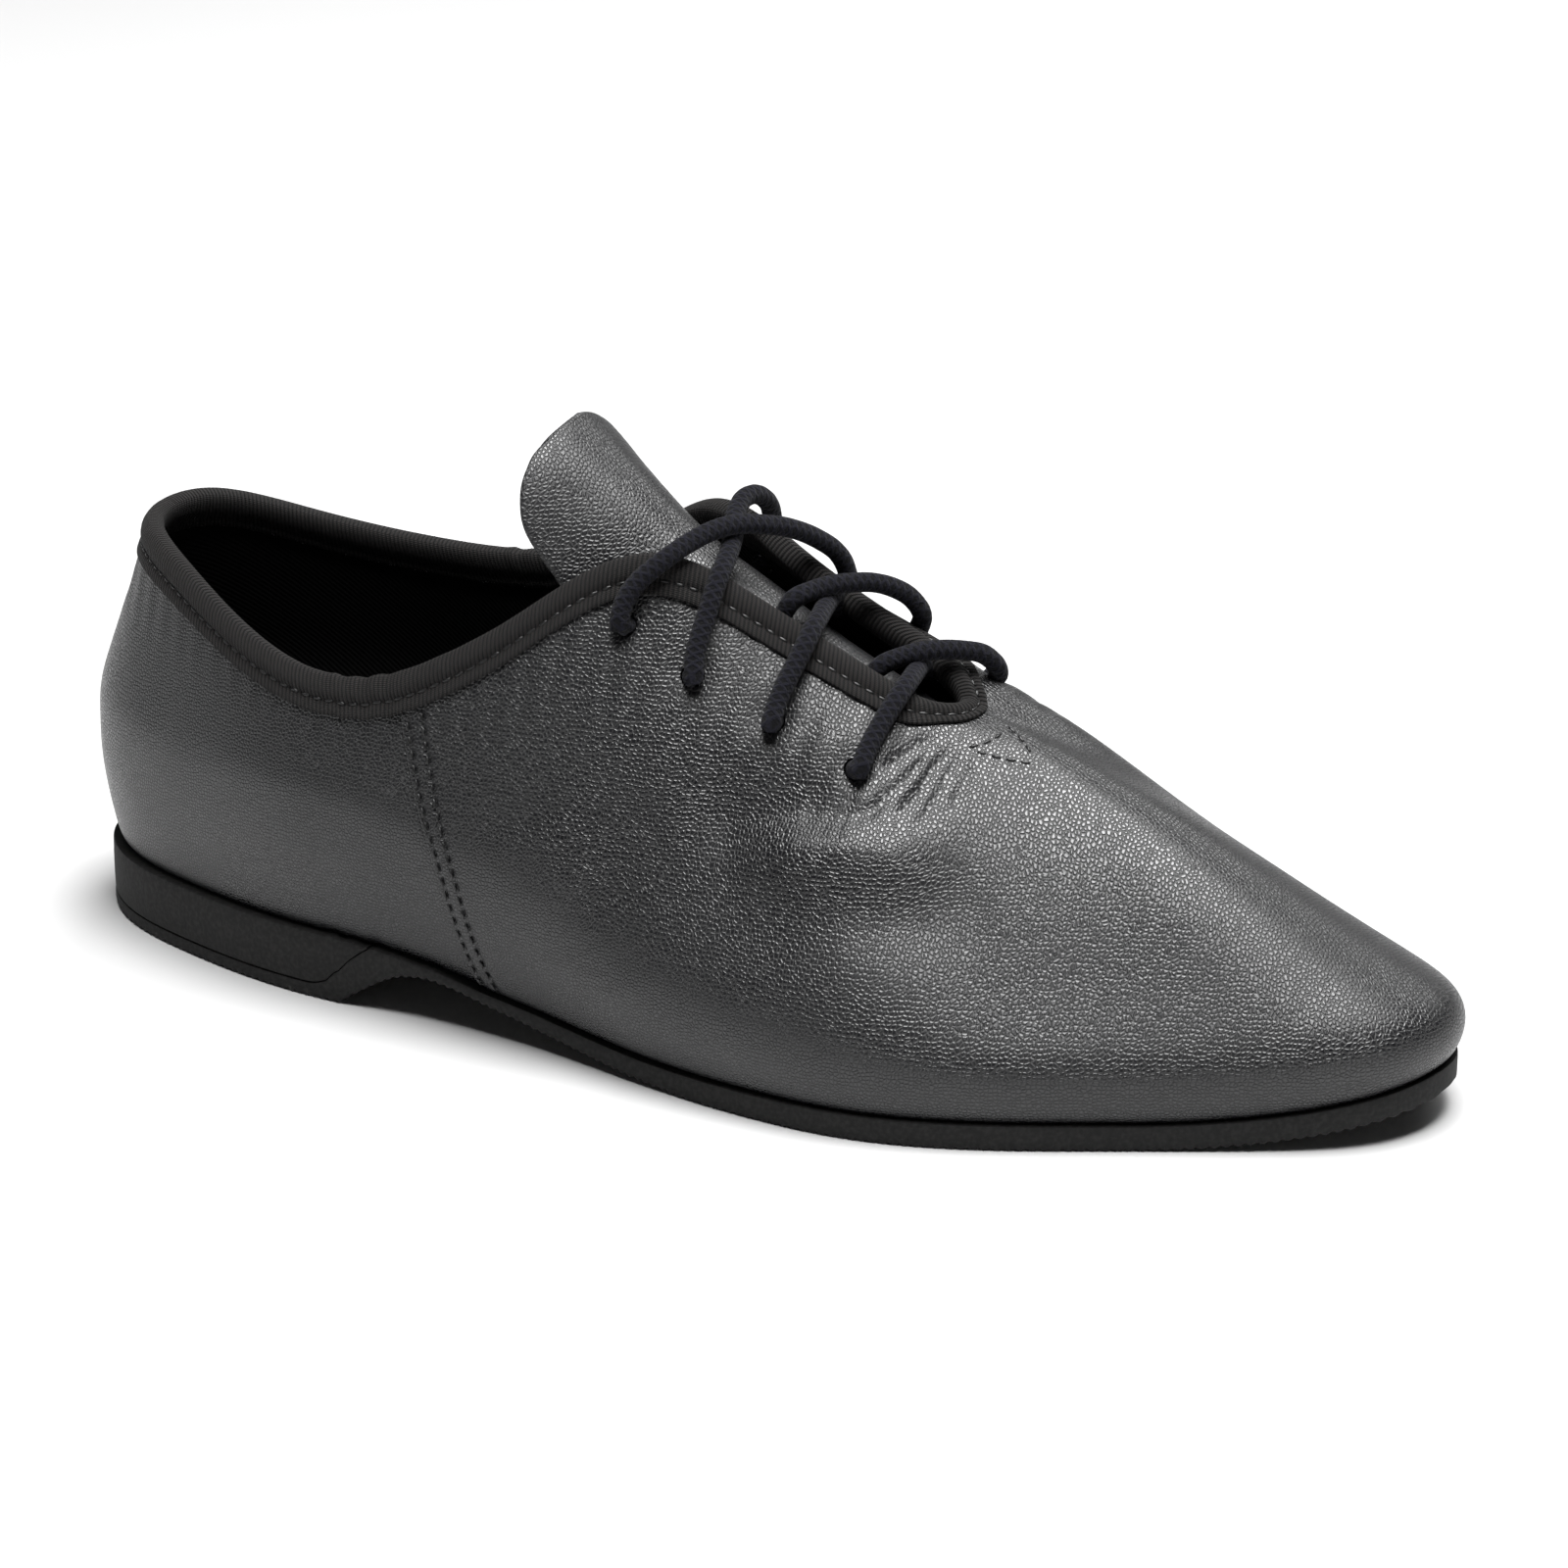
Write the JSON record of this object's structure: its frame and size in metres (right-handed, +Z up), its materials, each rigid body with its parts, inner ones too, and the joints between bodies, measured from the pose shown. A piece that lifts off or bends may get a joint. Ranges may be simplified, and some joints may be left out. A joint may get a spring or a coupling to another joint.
{
  "type": "jazz shoe",
  "caption": "Low black leather lace-up jazz dance shoe for the right foot, with thin rubber sole, low heel, taped collar, arched tongue and round lace.",
  "frame": {"origin": "middle of the shoe's footprint box, on the floor", "axes": "+X to the toe, +Y to the inner (big toe) side of the right foot, +Z up"},
  "size_m": [0.25, 0.0868, 0.0983],
  "materials": {
    "leather": "satin",
    "tape": "matt",
    "rubber": "matt",
    "lining": "matt",
    "cord": "matt"
  },
  "bodies": {
    "root": {"outsole": "rubber", "heel": "rubber", "insole": "lining", "upper": "leather", "binding": "tape", "tongue": "leather", "lace_crossing_1": "cord", "lace_crossing_2": "cord", "lace_crossing_3": "cord"}
  },
  "joints": []
}
